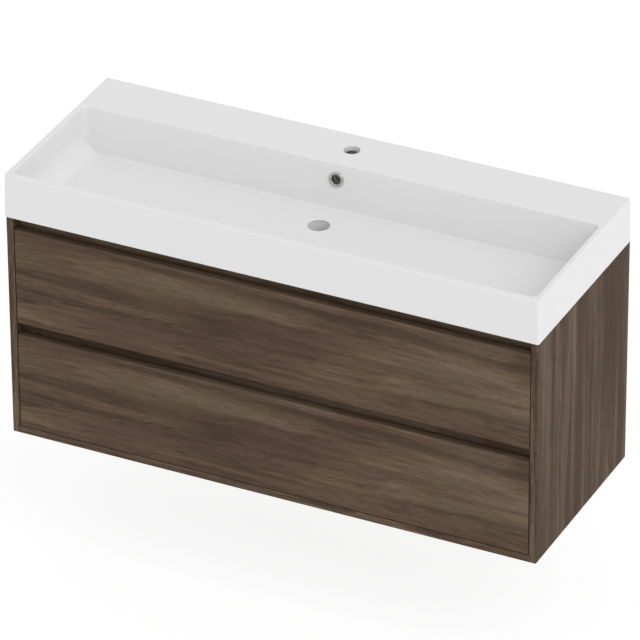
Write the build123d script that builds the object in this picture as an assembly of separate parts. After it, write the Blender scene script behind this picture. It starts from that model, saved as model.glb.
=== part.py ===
from build123d import *
from math import atan, cos, radians, sin, tan
import os

# Wall-hung vanity unit: two inset drawers on full-extension runners under a one-piece washbasin.
# Millimetres. X points right, Y points back to the wall plane at Y = 0 and Z is up from the
# underside of the cabinet. The drawer fronts face -Y.

# Carcass
cabinet_width = 1200.0
cabinet_depth = 455.0
cabinet_height = 520.0
carcass_board = 16.0
edge_chamfer = 0.6

# Drawer fronts, with a finger recess above each
front_thickness = 16.0
front_gap = 2.0
recess_height = 29.0

# Grip rails behind the recesses
finger_gap = 10.0
rail_thickness = 16.0
rail_lap = 11.0
rail_rise = 8.0

# Back rails
back_rail_height = 80.0
wall_plate_clearance = 9.0

# Drawer boxes
box_board = 15.0
box_bottom_board = 10.0
box_bottom_rise = 12.0
groove_depth = 7.0
box_under_clearance = 8.0
box_head_clearance = 10.0
box_back_clearance = 23.0

# Trap recess in the upper drawer
trap_width = 230.0
trap_reach = 300.0
trap_board = 10.0

# Telescopic runners: three nested channels a side, with a ball cage between each pair
drawer_travel = 380.0
runner_thickness = 12.7
runner_height = 45.5
runner_sheet = 1.2
runner_lip = 2.6
runner_lip_clearance = 0.7
runner_web_gap = 1.2
runner_ball_gap = 3.0
cage_play = 0.3
cage_end_play = 4.0
runner_bend = 0.9
runner_rise = 60.0
runner_setback = 2.0

# Carcass fittings
dowel_radius = 4.0
dowel_flutes = 12
dowel_in_side = 10.0
dowel_in_board = 20.0
dowel_inset = 60.0

# Cabinet hangers and their wall plates
hanger_width = 14.0
hanger_length = 56.0
hanger_height = 42.0
hanger_wall = 2.0
hanger_set_forward = 24.0
hanger_top_clearance = 4.0
hook_thickness = 4.0
hook_arm_height = 10.0
hook_tooth_height = 10.0
hook_tooth_thickness = 3.6
hook_play = 1.0
pin_radius = 3.0
pin_head_radius = 5.5
pin_head_height = 1.5
wall_plate_width = 63.0
wall_plate_height = 54.0
wall_plate_sheet = 3.0
wall_plate_offset = 5.5
wall_plate_lip = 12.0
wall_plate_screw_radius = 2.75
wall_plate_screw_spacing = 32.0

# Washbasin, outside
basin_side_overhang = 1.5
basin_front_overhang = 5.0
basin_height = 100.0
basin_draft = 1.0
basin_corner = 3.5
basin_top_round = 2.5
basin_foot_chamfer = 1.0

# Washbasin, bowl
rim_thickness = 12.0
deck_depth = 128.0
bowl_depth = 97.0
end_wall_run = 3.0
end_cove = 50.0
cove_overlap = 0.1
back_wall_run = 20.0
bowl_corner_top = 14.0
bowl_corner_floor = 24.0
bowl_rim_round = 7.0
bowl_floor_round = 4.0
floor_thickness = 12.0
pan_border = 6.0
pan_end_inset = 22.0
pan_rail_clearance = 12.0
pan_chamfer = 6.0

# Washbasin, hollow back under the tap deck
deck_thickness = 12.0
back_wall_thickness = 12.0
rib_thickness = 12.0
rib_x = 200.0

# Washbasin, holes
tap_hole_radius = 17.5
tap_hole_from_wall = 61.5
waste_radius = 23.0
waste_from_wall = 219.0
waste_boss_wall = 15.0
waste_boss_depth = 50.0
waste_chamfer = 2.0
wall_bolt_radius = 7.0
wall_bolt_x = 280.0
wall_bolt_drop = 48.0

# Overflow
overflow_drop = 33.0
overflow_ring_radius = 17.0
overflow_ring_lip = 3.0
overflow_ring_bore = 10.5
overflow_sleeve_wall = 1.4
overflow_sleeve_length = 12.0
overflow_fit = 0.3
duct_width = 40.0
duct_depth = 13.0
duct_wall = 8.0
duct_height = 9.0
duct_below_floor = 30.0

# Positions that follow from the sizes above
inner_half = cabinet_width / 2 - carcass_board
front_y = -cabinet_depth
front_back_y = front_y + front_thickness
rail_y = front_back_y + finger_gap
front_half = inner_half - front_gap
front_height = (cabinet_height - carcass_board - front_gap - 2 * recess_height) / 2
lower_front_z = carcass_board + front_gap
upper_front_z = lower_front_z + front_height + recess_height

box_half = inner_half - runner_thickness
box_back_y = -carcass_board - box_back_clearance
box_rise = rail_rise + box_under_clearance
box_height = front_height - box_rise - rail_lap - box_head_clearance
runner_front_y = front_back_y + runner_setback
cage_length = box_back_y - runner_front_y - drawer_travel / 2 - 2 * cage_end_play

basin_half = cabinet_width / 2 + basin_side_overhang
basin_front_y = front_y - basin_front_overhang
basin_top_z = cabinet_height + basin_height
draft_run = basin_height * tan(radians(basin_draft))
bowl_half = basin_half - draft_run - rim_thickness
bowl_front_y = basin_front_y + draft_run + rim_thickness
bowl_floor_front_y = rail_y + rail_thickness + pan_rail_clearance + pan_border
bowl_floor_z = basin_top_z - bowl_depth
hollow_back_y = -deck_depth + back_wall_thickness
back_wall_slope = back_wall_run / bowl_depth

hanger_top_z = cabinet_height - hanger_top_clearance
hook_arm_z = hanger_top_z - hanger_wall - hook_play - hook_arm_height
upper_back_rail_top = hook_arm_z - wall_plate_height - wall_plate_clearance


def block(x0, x1, y0, y1, z0, z1):
    return Pos((x0 + x1) / 2, (y0 + y1) / 2, (z0 + z1) / 2) * Box(x1 - x0, y1 - y0, z1 - z0)


def rod_x(x0, x1, y, z, radius):
    return Pos((x0 + x1) / 2, y, z) * Rot(0, 90, 0) * Cylinder(radius, x1 - x0)


def rod_y(x, y0, y1, z, radius):
    return Pos(x, (y0 + y1) / 2, z) * Rot(90, 0, 0) * Cylinder(radius, y1 - y0)


def rod_z(x, y, z0, z1, radius):
    return Pos(x, y, (z0 + z1) / 2) * Cylinder(radius, z1 - z0)


def other_side(solid):
    return mirror(solid, about=Plane.YZ)


def both_sides(solids):
    return Compound(children=solids + [other_side(solid) for solid in solids])


def ease_front_edges(board):
    """The scraped edge banding round the face that looks out of the front."""
    return chamfer(board.faces().sort_by(Axis.Y)[0].edges(), edge_chamfer)


# Carcass boards

def dowel_places():
    """Y and Z of each dowel between a side panel and the board that butts against it."""
    rail_middle = rail_y + rail_thickness / 2
    back_middle = -carcass_board / 2
    middle_rail_z = (lower_front_z + front_height - rail_lap + upper_front_z + rail_rise) / 2
    top_rail_z = (upper_front_z + front_height - rail_lap + cabinet_height) / 2
    return [
        (front_y + dowel_inset, carcass_board / 2),
        (-dowel_inset, carcass_board / 2),
        (rail_middle, middle_rail_z),
        (rail_middle, top_rail_z),
        (back_middle, carcass_board + back_rail_height / 2),
        (back_middle, upper_back_rail_top - back_rail_height / 2),
    ]


def dowel_holes():
    holes = [rod_x(inner_half - dowel_in_board, inner_half + dowel_in_side, y, z, dowel_radius)
             for y, z in dowel_places()]
    return holes + [other_side(hole) for hole in holes]


def side_panel():
    panel = block(inner_half, cabinet_width / 2, front_y, 0, 0, cabinet_height)
    return ease_front_edges(panel) - dowel_holes()


def bottom_panel():
    panel = block(-inner_half, inner_half, front_y, 0, 0, carcass_board)
    return ease_front_edges(panel) - dowel_holes()


def grip_rail(z0, z1):
    rail = block(-inner_half, inner_half, rail_y, rail_y + rail_thickness, z0, z1)
    return rail - dowel_holes()


def back_rail(z0):
    rail = block(-inner_half, inner_half, -carcass_board, 0, z0, z0 + back_rail_height)
    return rail - dowel_holes()


def carcass_dowels():
    """Fluted beech dowels, half in the side panel and half in the board's end."""
    flutes = RegularPolygon(dowel_radius, dowel_flutes)
    length = dowel_in_board + dowel_in_side
    dowel = Rot(0, 90, 0) * extrude(flutes, amount=length)
    return both_sides([Pos(inner_half - dowel_in_board, y, z) * dowel for y, z in dowel_places()])


# Runners

def runner_section(outline, y0, length):
    """A constant section along Y, mirrored about its own middle height.

    The outline's first number, u, is measured from the side panel's inner face inwards.
    """
    whole = outline + [(u, -z) for u, z in reversed(outline)]
    points = [(inner_half - u, y0, z) for u, z in whole]
    return extrude(make_face(Polyline(*points, close=True)), amount=length, dir=(0, 1, 0))


def channel(web_u, open_u, half_height, lip):
    """A rolled steel channel, its web at web_u and its flanges reaching open_u."""
    way = 1 if open_u > web_u else -1
    sheet = runner_sheet
    outline = [(web_u, half_height), (open_u, half_height)]
    if lip:
        outline += [(open_u, half_height - lip), (open_u - way * sheet, half_height - lip),
                    (open_u - way * sheet, half_height - sheet)]
    else:
        outline += [(open_u, half_height - sheet)]
    outline += [(web_u + way * sheet, half_height - sheet)]
    rail = runner_section(outline, runner_front_y, box_back_y - runner_front_y)
    bends = [edge for edge in rail.edges().filter_by(Axis.Y)
             if abs(abs(edge.center().Z) - half_height) < 0.01
             and abs(edge.center().X - inner_half + web_u) < 0.01]
    return fillet(bends, runner_bend)


def ball_cage(web_u, web_end_u, open_u, half_height):
    """A U-shaped ball cage that fills the race outside a member's flanges, half_height high."""
    z0 = half_height + cage_play
    z1 = half_height + runner_ball_gap - cage_play
    outline = [(web_u, z1), (open_u, z1), (open_u, z0), (web_end_u, z0)]
    middle_y = (runner_front_y + box_back_y) / 2
    return runner_section(outline, middle_y - cage_length / 2, cage_length)


def runner_members():
    """The members and ball cages of a right-hand runner, at height 0."""
    cabinet_half_height = runner_height / 2
    middle_half_height = cabinet_half_height - runner_sheet - runner_ball_gap
    drawer_half_height = middle_half_height - runner_sheet - runner_ball_gap
    cabinet_lip_u = runner_thickness - runner_lip_clearance
    middle_web_u = runner_sheet + runner_web_gap
    middle_open_u = cabinet_lip_u - runner_sheet
    drawer_open_u = middle_web_u + runner_sheet + runner_web_gap
    return {
        "cabinet": channel(0, cabinet_lip_u, cabinet_half_height, runner_lip),
        "outer_cage": ball_cage(runner_sheet + cage_play, middle_web_u - cage_play,
                                middle_open_u - cage_play, middle_half_height),
        "middle": channel(middle_web_u, middle_open_u, middle_half_height, 0),
        "inner_cage": ball_cage(middle_web_u + runner_sheet + cage_play,
                                drawer_open_u - cage_play, middle_open_u - cage_play,
                                drawer_half_height),
        "drawer": channel(runner_thickness, drawer_open_u, drawer_half_height, 0),
    }


# Drawers

def drawer_front(z0):
    front = block(-front_half, front_half, front_y, front_back_y, z0, z0 + front_height)
    return ease_front_edges(front)


def box_bottom_z(z0):
    return z0 + box_rise + box_bottom_rise


def groove(z0):
    """The groove that runs round the inside of a box and takes the bottom's edges."""
    reach = box_half - box_board + groove_depth
    z = box_bottom_z(z0)
    y0 = front_back_y + box_board - groove_depth
    return block(-reach, reach, y0, box_back_y, z, z + box_bottom_board)


def box_side(z0):
    z = z0 + box_rise
    side = block(box_half - box_board, box_half, front_back_y, box_back_y, z, z + box_height)
    return side - groove(z0)


def box_front(z0):
    half = box_half - box_board
    z = z0 + box_rise
    wall = block(-half, half, front_back_y, front_back_y + box_board, z, z + box_height)
    return wall - groove(z0)


def box_back(z0, x0, x1):
    """The back stands on the bottom, which slides in under it."""
    z = box_bottom_z(z0) + box_bottom_board
    return block(x0, x1, box_back_y - box_board, box_back_y, z, z0 + box_rise + box_height)


def box_bottom(z0):
    return groove(z0)


def trap_recess(z0, z1):
    return block(-trap_width / 2, trap_width / 2, -trap_reach, box_back_y, z0, z1)


def trap_wall_side(z0):
    x = trap_width / 2
    z = box_bottom_z(z0) + box_bottom_board
    return block(x, x + trap_board, -trap_reach - trap_board, box_back_y, z,
                 z0 + box_rise + box_height)


def trap_wall_front(z0):
    half = trap_width / 2
    z = box_bottom_z(z0) + box_bottom_board
    return block(-half, half, -trap_reach - trap_board, -trap_reach, z,
                 z0 + box_rise + box_height)


# Cabinet hangers

def hanger_housing():
    """A box against the side panel, open at the back where its hook comes out."""
    x0 = inner_half - hanger_width
    y0 = -hanger_set_forward - hanger_length
    z0 = hanger_top_z - hanger_height
    shell = block(x0, inner_half, y0, -hanger_set_forward, z0, hanger_top_z)
    shell = fillet(shell.edges().filter_by(Axis.X).group_by(Axis.Y)[0], 2 * hanger_wall)
    inside = block(x0 + hanger_wall, inner_half - hanger_wall, y0 + hanger_wall,
                   -hanger_set_forward, z0 + hanger_wall, hanger_top_z - hanger_wall)
    return shell - inside - hanger_pin_shanks()


def hanger_pin_places():
    y0 = -hanger_set_forward - hanger_length
    z = hook_arm_z - hook_arm_height / 2
    return [(y0 + hanger_length * 0.3, z), (y0 + hanger_length * 0.7, z)]


def hanger_pin_shanks():
    return [rod_x(inner_half - hanger_width, inner_half - hanger_wall, y, z, pin_radius)
            for y, z in hanger_pin_places()]


def hanger_hook():
    """A stamped steel hook whose tooth drops behind the wall plate's lip."""
    x_middle = inner_half - hanger_width / 2
    y0 = -hanger_set_forward - hanger_length + hanger_wall + hook_play
    y_tooth = -hook_play - hook_tooth_thickness
    body_z = hook_arm_z - hook_arm_height - hook_tooth_height
    body_y1 = -hanger_set_forward - 2 * hook_play
    arm_top = hook_arm_z + hook_arm_height
    outline = [(y0, body_z), (body_y1, body_z), (body_y1, hook_arm_z), (y_tooth, hook_arm_z),
               (y_tooth, hook_arm_z - hook_tooth_height), (-hook_play, hook_arm_z - hook_tooth_height),
               (-hook_play, arm_top), (y0, arm_top)]
    points = [(x_middle - hook_thickness / 2, y, z) for y, z in outline]
    plate = extrude(make_face(Polyline(*points, close=True)), amount=hook_thickness, dir=(1, 0, 0))
    return plate - hanger_pin_shanks()


def hanger_pins():
    """The two hexagon-headed pins on which the hook hangs in its housing."""
    head = Rot(0, -90, 0) * extrude(RegularPolygon(pin_head_radius, 6), amount=pin_head_height)
    return [shank + Pos(inner_half - hanger_width, y, z) * head
            for shank, (y, z) in zip(hanger_pin_shanks(), hanger_pin_places())]


def wall_plate():
    """A joggled plate on the wall: flat below for its screws, standing off above as a lip."""
    x1 = inner_half - 1.0
    z0 = hook_arm_z - wall_plate_height
    lip_z = hook_arm_z - wall_plate_lip
    joggle = wall_plate_offset
    sheet = wall_plate_sheet
    outline = [(0, z0), (0, lip_z - joggle), (-joggle, lip_z), (-joggle, hook_arm_z),
               (-joggle - sheet, hook_arm_z), (-joggle - sheet, lip_z - sheet / 2),
               (-sheet, lip_z - joggle - sheet / 2), (-sheet, z0)]
    points = [(x1 - wall_plate_width, y, z) for y, z in outline]
    section = make_face(Polyline(*points, close=True))
    plate = extrude(section, amount=wall_plate_width, dir=(1, 0, 0))
    x_middle = x1 - wall_plate_width / 2
    z_holes = (z0 + lip_z - joggle) / 2
    holes = [rod_y(x_middle + side * wall_plate_screw_spacing / 2, -sheet, 0, z_holes,
                   wall_plate_screw_radius) for side in (-1, 1)]
    return plate - holes


# Washbasin

def outline_at(half, y_front, y_back, z, radius):
    middle = Pos(0, (y_front + y_back) / 2, z)
    return middle * RectangleRounded(2 * half, y_back - y_front, radius)


def basin_block():
    """The outside, wider at its foot by the mould's draft and flat against the wall."""
    foot = outline_at(basin_half, basin_front_y, 0, cabinet_height, basin_corner)
    top = outline_at(basin_half - draft_run, basin_front_y + draft_run, 0, basin_top_z,
                     basin_corner)
    body = loft([foot, top], ruled=True)
    body = fillet(body.faces().sort_by(Axis.Z)[-1].edges(), basin_top_round)
    return chamfer(body.faces().sort_by(Axis.Z)[0].edges(), basin_foot_chamfer)


def end_coves():
    """A long trough with steep ends and one large round between each end and the floor."""
    z0 = bowl_floor_z - cove_overlap
    top_half = bowl_half + cove_overlap
    foot_half = top_half - end_wall_run
    outline = [(-top_half, basin_top_z), (-foot_half, z0), (foot_half, z0), (top_half, basin_top_z)]
    points = [(x, bowl_front_y, z) for x, z in outline]
    length = -deck_depth - bowl_front_y
    trough = extrude(make_face(Polyline(*points, close=True)), amount=length, dir=(0, 1, 0))
    return fillet(trough.faces().sort_by(Axis.Z)[0].edges().filter_by(Axis.Y), end_cove)


def bowl_space():
    """The water space: leaning back and front walls, a crisp foot and coved ends."""
    mouth = outline_at(bowl_half, bowl_front_y, -deck_depth, basin_top_z, bowl_corner_top)
    floor = outline_at(bowl_half - end_wall_run, bowl_floor_front_y, -deck_depth - back_wall_run,
                       bowl_floor_z, bowl_corner_floor)
    space = loft([floor, mouth], ruled=True)
    space = fillet(space.faces().sort_by(Axis.Z)[0].edges(), bowl_floor_round)
    return space & end_coves()


def bowl_pan():
    """The bowl's underside, which hangs a little into the cabinet."""
    z = bowl_floor_z - floor_thickness
    outline = outline_at(bowl_half - pan_end_inset, bowl_floor_front_y - pan_border,
                         -deck_depth - back_wall_run + pan_border, z,
                         bowl_corner_floor + pan_border)
    pan = extrude(outline, amount=floor_thickness + bowl_floor_round / 2)
    return chamfer(pan.faces().sort_by(Axis.Z)[0].edges(), pan_chamfer)


def hollow_back():
    """The three bays under the tap deck, parted by two ribs, behind an even bowl wall."""
    z1 = basin_top_z - deck_thickness
    top_y = hollow_back_y - back_wall_slope * deck_thickness
    foot_y = hollow_back_y - back_wall_slope * basin_height
    outline = [(top_y, z1), (foot_y, cabinet_height), (-back_wall_thickness, cabinet_height),
               (-back_wall_thickness, z1)]
    points = [(-bowl_half, y, z) for y, z in outline]
    space = extrude(make_face(Polyline(*points, close=True)), amount=2 * bowl_half, dir=(1, 0, 0))
    ribs = [block(x - rib_thickness / 2, x + rib_thickness / 2, foot_y, -back_wall_thickness,
                  cabinet_height, z1) for x in (-rib_x, rib_x)]
    return space - ribs


def overflow_plane():
    """On the bowl's back wall, facing into the bowl and square to the wall's slope."""
    tilt = atan(back_wall_slope)
    y = -deck_depth - back_wall_slope * overflow_drop
    return Plane(origin=(0, y, basin_top_z - overflow_drop), x_dir=(1, 0, 0),
                 z_dir=(0, -cos(tilt), sin(tilt)))


def duct():
    """The way from the overflow hole down behind the bowl and forward to the waste.

    It enters the waste too low to be seen through the open hole.
    """
    half = duct_width / 2
    z1 = bowl_floor_z - duct_below_floor
    z0 = z1 - duct_height
    y1 = hollow_back_y + duct_depth
    drop = block(-half, half, hollow_back_y, y1, z0,
                 basin_top_z - overflow_drop + overflow_ring_radius)
    run = block(-half, half, -waste_from_wall, y1, z0, z1)
    return drop + run


def duct_casing():
    half = duct_width / 2 + duct_wall
    z0 = bowl_floor_z - duct_below_floor - duct_height - duct_wall
    y0 = hollow_back_y - back_wall_run
    y1 = hollow_back_y + duct_depth + duct_wall
    drop = block(-half, half, y0, y1, z0, basin_top_z - deck_thickness / 2)
    run = block(-half, half, -waste_from_wall, y1, z0, bowl_floor_z - floor_thickness / 2)
    return drop + run


def waste_boss():
    z0 = bowl_floor_z - waste_boss_depth
    return rod_z(0, -waste_from_wall, z0, bowl_floor_z, waste_radius + waste_boss_wall)


def waste_bore():
    z0 = bowl_floor_z - waste_boss_depth
    bore = rod_z(0, -waste_from_wall, z0, bowl_floor_z, waste_radius)
    edge = Pos(0, -waste_from_wall, bowl_floor_z - waste_chamfer / 2)
    return bore + edge * Cone(waste_radius, waste_radius + waste_chamfer, waste_chamfer)


def washbasin():
    basin = basin_block() - hollow_back()
    basin += bowl_pan()
    basin += duct_casing()
    basin += waste_boss()
    basin -= bowl_space()
    mouth = basin.faces().sort_by(Axis.Z)[-1].inner_wires().sort_by(SortBy.LENGTH)[-1]
    basin = fillet(mouth.edges(), bowl_rim_round)
    basin -= duct()
    basin -= waste_bore()
    bore_depth = back_wall_thickness + duct_depth
    bore = Cylinder(overflow_ring_bore + overflow_sleeve_wall + overflow_fit, bore_depth,
                    align=(Align.CENTER, Align.CENTER, Align.MAX))
    basin -= overflow_plane() * bore
    basin -= rod_z(0, -tap_hole_from_wall, basin_top_z - deck_thickness, basin_top_z,
                   tap_hole_radius)
    basin -= [rod_y(x, -back_wall_thickness, 0, basin_top_z - wall_bolt_drop, wall_bolt_radius)
              for x in (-wall_bolt_x, wall_bolt_x)]
    return basin


def overflow_ring():
    """A turned ring: a domed lip against the glaze and a sleeve into the overflow hole."""
    bore = overflow_ring_bore
    sleeve = bore + overflow_sleeve_wall
    half_lip = overflow_ring_lip / 2
    outline = [(bore, -overflow_sleeve_length), (sleeve, -overflow_sleeve_length), (sleeve, 0),
               (overflow_ring_radius, 0), (overflow_ring_radius, half_lip),
               (overflow_ring_radius - half_lip, overflow_ring_lip),
               (bore + half_lip, overflow_ring_lip), (bore, half_lip)]
    section = make_face(Polyline(*outline, close=True))
    ring = revolve(Plane.XZ * section, axis=Axis.Z)
    return overflow_plane() * ring


# The nodes, each one piece or one group of like fasteners

nodes = {
    "side_panel_right": side_panel(),
    "side_panel_left": other_side(side_panel()),
    "bottom_panel": bottom_panel(),
    "middle_grip_rail": grip_rail(lower_front_z + front_height - rail_lap, upper_front_z + rail_rise),
    "top_grip_rail": grip_rail(upper_front_z + front_height - rail_lap, cabinet_height),
    "lower_back_rail": back_rail(carcass_board),
    "upper_back_rail": back_rail(upper_back_rail_top - back_rail_height),
    "carcass_dowels": carcass_dowels(),
    "washbasin": washbasin(),
    "overflow_ring": overflow_ring(),
    "hanger_housing_right": hanger_housing(),
    "hanger_housing_left": other_side(hanger_housing()),
    "hanger_hook_right": hanger_hook(),
    "hanger_hook_left": other_side(hanger_hook()),
    "hanger_pins": both_sides(hanger_pins()),
    "wall_plate_right": wall_plate(),
    "wall_plate_left": other_side(wall_plate()),
}

for level, z0 in (("lower", lower_front_z), ("upper", upper_front_z)):
    for member, rail in runner_members().items():
        seated = Pos(0, 0, z0 + box_rise + runner_rise) * rail
        nodes[f"{level}_runner_{member}_right"] = seated
        nodes[f"{level}_runner_{member}_left"] = other_side(seated)
    nodes[f"{level}_drawer_front"] = drawer_front(z0)
    nodes[f"{level}_box_front"] = box_front(z0)
    nodes[f"{level}_box_side_right"] = box_side(z0)
    nodes[f"{level}_box_side_left"] = other_side(box_side(z0))

inside_half = box_half - box_board
nodes["lower_box_bottom"] = box_bottom(lower_front_z)
nodes["lower_box_back"] = box_back(lower_front_z, -inside_half, inside_half)

upper_back = box_back(upper_front_z, trap_width / 2 + trap_board, inside_half)
trap_side = trap_wall_side(upper_front_z)
nodes["upper_box_bottom"] = box_bottom(upper_front_z) - trap_recess(upper_front_z, cabinet_height)
nodes["upper_box_back_right"] = upper_back
nodes["upper_box_back_left"] = other_side(upper_back)
nodes["trap_wall_right"] = trap_side
nodes["trap_wall_left"] = other_side(trap_side)
nodes["trap_wall_front"] = trap_wall_front(upper_front_z)

os.makedirs("parts", exist_ok=True)
for name, solid in nodes.items():
    export_step(solid, f"parts/{name}.step")
print(len(nodes), "nodes")
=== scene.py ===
import math

import bmesh
import bpy
from mathutils import Matrix, Vector


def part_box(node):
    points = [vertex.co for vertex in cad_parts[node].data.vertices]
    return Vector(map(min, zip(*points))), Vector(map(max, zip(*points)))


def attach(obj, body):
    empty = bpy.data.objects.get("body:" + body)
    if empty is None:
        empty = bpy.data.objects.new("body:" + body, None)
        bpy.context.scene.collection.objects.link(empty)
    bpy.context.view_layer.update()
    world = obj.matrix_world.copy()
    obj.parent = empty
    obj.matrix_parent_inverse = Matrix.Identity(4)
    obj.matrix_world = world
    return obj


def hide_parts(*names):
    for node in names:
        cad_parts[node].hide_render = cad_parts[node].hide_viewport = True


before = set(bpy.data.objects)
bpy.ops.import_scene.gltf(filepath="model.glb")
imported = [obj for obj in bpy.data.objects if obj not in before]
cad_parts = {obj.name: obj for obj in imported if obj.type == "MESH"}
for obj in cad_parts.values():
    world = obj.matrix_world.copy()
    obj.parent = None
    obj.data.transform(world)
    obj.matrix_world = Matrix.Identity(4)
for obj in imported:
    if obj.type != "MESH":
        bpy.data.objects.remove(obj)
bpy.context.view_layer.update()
print("frame loaded:", len(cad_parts), "nodes")


def metres(sizes):
    # millimetres, as the settings are written, to Blender's metres
    return {name: value / 1000 for name, value in sizes.items()}


# Camera, solved from the straight edges of the photograph

camera = {
    "place": (4.9774, -10.4429, 7.0685),
    "turn": 25.951,          # degrees to the right of straight on
    "down": 30.777,
    "roll": -0.318,
    "lens": 360.03,
    "sensor": 36.0,
    "reach": 100,            # metres that it sees
}


def addCamera():
    lens = bpy.data.cameras.new("camera")
    lens.lens = camera["lens"]
    lens.sensor_width = camera["sensor"]
    lens.clip_end = camera["reach"]
    holder = bpy.data.objects.new("camera", lens)
    bpy.context.scene.collection.objects.link(holder)
    turn = Matrix.Rotation(math.radians(camera["turn"]), 4, "Z")
    tilt = Matrix.Rotation(math.radians(90 - camera["down"]), 4, "X")
    roll = Matrix.Rotation(math.radians(camera["roll"]), 4, "Z")
    holder.matrix_world = Matrix.Translation(camera["place"]) @ turn @ tilt @ roll
    bpy.context.scene.camera = holder


addCamera()
print("camera placed")


# Node helpers

def colour(hexCode):
    # an sRGB hex value to the linear one that the nodes take
    parts = [int(hexCode[i:i + 2], 16) / 255 for i in (1, 3, 5)]
    linear = [c / 12.92 if c <= 0.04045 else ((c + 0.055) / 1.055) ** 2.4 for c in parts]
    return (*linear, 1.0)


def addNode(tree, kind, options=None, inputs=None, stops=()):
    # one shader node: its options, its inputs as values or links, and a ramp's stops
    new = tree.nodes.new("ShaderNode" + kind)
    for name, value in (options or {}).items():
        setattr(new, name, value)
    for key, value in (inputs or {}).items():
        if isinstance(value, bpy.types.NodeSocket):
            tree.links.new(value, new.inputs[key])
        else:
            new.inputs[key].default_value = value
    for index, (place, shade) in enumerate(stops):
        if index >= len(new.color_ramp.elements):
            new.color_ramp.elements.new(place)
        new.color_ramp.elements[index].position = place
        new.color_ramp.elements[index].color = shade
    return new


def newFinish(name, fixed):
    # an empty material with its principled shader, whose plain values are set on its sockets
    finish = bpy.data.materials.new(name)
    finish.use_nodes = True
    tree = finish.node_tree
    tree.nodes.clear()
    shader = addNode(tree, "BsdfPrincipled", {}, fixed)
    addNode(tree, "OutputMaterial", {}, {"Surface": shader.outputs[0]})
    return finish, tree, shader


def grainNoise(tree, place, long, wide, detail, rough=0.5):
    # noise drawn out along X: long and wide are the size of one mark in metres
    stretch = addNode(tree, "VectorMath", {"operation": "MULTIPLY"},
                      {0: place, 1: (1 / long, 1 / wide, 1 / wide)})
    noise = addNode(tree, "TexNoise", {}, {"Vector": stretch.outputs[0], "Scale": 1.0,
                                           "Detail": detail, "Roughness": rough})
    return noise.outputs["Fac"]


def maths(tree, operation, first, second=0.0, third=0.0):
    return addNode(tree, "Math", {"operation": operation},
                   {0: first, 1: second, 2: third}).outputs[0]


def mixed(tree, blend, share, first, second):
    return addNode(tree, "Mix", {"data_type": "RGBA", "blend_type": blend},
                   {0: share, 6: first, 7: second}).outputs[2]


def bumped(tree, shader, height, depth, strength):
    bump = addNode(tree, "Bump", {}, {"Height": height, "Distance": depth, "Strength": strength})
    tree.links.new(bump.outputs[0], shader.inputs["Normal"])


# Studio: plain soft light, more of it from the front and the right, and a white floor

studio = {
    "sky": 0.83,             # level of the world's light on the object
    "skyFront": 0.19,        # how much brighter the room is in front than behind
    "skyRight": 0.20,        # and on the right than on the left
    "sun": 0.60,
    "sunAngle": 40,          # degrees, a very soft edge
    "sunFrom": (0.9, -0.40, 1.0),
    "floorZ": -0.26,         # under a unit hung with its rim at 88 cm
    "floorSize": 60,
    "paper": "#F8F8F8",
    "paperShown": "#7C7C7C",     # what the camera sees: a shaded sheet and a glow, which
    "paperGlow": 0.84,           # together come to white outside the shadow
}


def seenDirectly(tree):
    # 1 for the rays that show the background: camera, mirror and glass
    rays = addNode(tree, "LightPath")
    first = maths(tree, "MAXIMUM", rays.outputs["Is Camera Ray"], rays.outputs["Is Glossy Ray"])
    return maths(tree, "MAXIMUM", first, rays.outputs["Is Transmission Ray"])


def addStudio():
    world = bpy.data.worlds.new("studio")
    bpy.context.scene.world = world
    world.use_nodes = True
    tree = world.node_tree
    tree.nodes.clear()
    way = addNode(tree, "SeparateXYZ", {}, {0: addNode(tree, "TexCoord").outputs["Generated"]})
    level = maths(tree, "MULTIPLY_ADD", way.outputs["Y"], -studio["skyFront"], studio["sky"])
    level = maths(tree, "MULTIPLY_ADD", way.outputs["X"], studio["skyRight"], level)
    soft = addNode(tree, "Background", {}, {"Color": (1, 1, 1, 1), "Strength": level})
    white = addNode(tree, "Background", {}, {"Color": (1, 1, 1, 1), "Strength": 1.0})
    both = addNode(tree, "MixShader", {}, {0: seenDirectly(tree), 1: soft.outputs[0],
                                           2: white.outputs[0]})
    addNode(tree, "OutputWorld", {}, {"Surface": both.outputs[0]})

    lamp = bpy.data.lights.new("window", "SUN")
    lamp.energy = studio["sun"]
    lamp.angle = math.radians(studio["sunAngle"])
    holder = bpy.data.objects.new("window", lamp)
    bpy.context.scene.collection.objects.link(holder)
    holder.rotation_euler = Vector(studio["sunFrom"]).to_track_quat("Z", "Y").to_euler()


def addFloor():
    bpy.ops.object.select_all(action="DESELECT")
    bpy.ops.mesh.primitive_plane_add(size=studio["floorSize"], location=(0, 0, studio["floorZ"]))
    floor = bpy.context.object
    floor.name = "studio_floor"
    finish = bpy.data.materials.new("white paper")
    finish.use_nodes = True
    tree = finish.node_tree
    tree.nodes.clear()
    plain = addNode(tree, "BsdfDiffuse", {}, {"Color": colour(studio["paper"])})
    shaded = addNode(tree, "BsdfDiffuse", {}, {"Color": colour(studio["paperShown"])})
    glow = addNode(tree, "Emission", {}, {"Strength": studio["paperGlow"]})
    shown = addNode(tree, "AddShader", {}, {0: shaded.outputs[0], 1: glow.outputs[0]})
    both = addNode(tree, "MixShader", {}, {0: seenDirectly(tree), 1: plain.outputs[0],
                                           2: shown.outputs[0]})
    addNode(tree, "OutputMaterial", {}, {"Surface": both.outputs[0]})
    floor.data.materials.append(finish)


addStudio()
addFloor()
bpy.context.scene.view_settings.view_transform = "Standard"
print("studio lit")


# Modelling helpers

# How far cutters reach past a surface and joined solids into each other, and how near is the same
reach = metres({"far": 20, "past": 10, "overlap": 4, "barely": 2, "hair": 1, "slack": 0.1,
                "ringFlat": 0.4, "ringRadius": 0.3, "same": 0.01})


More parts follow.
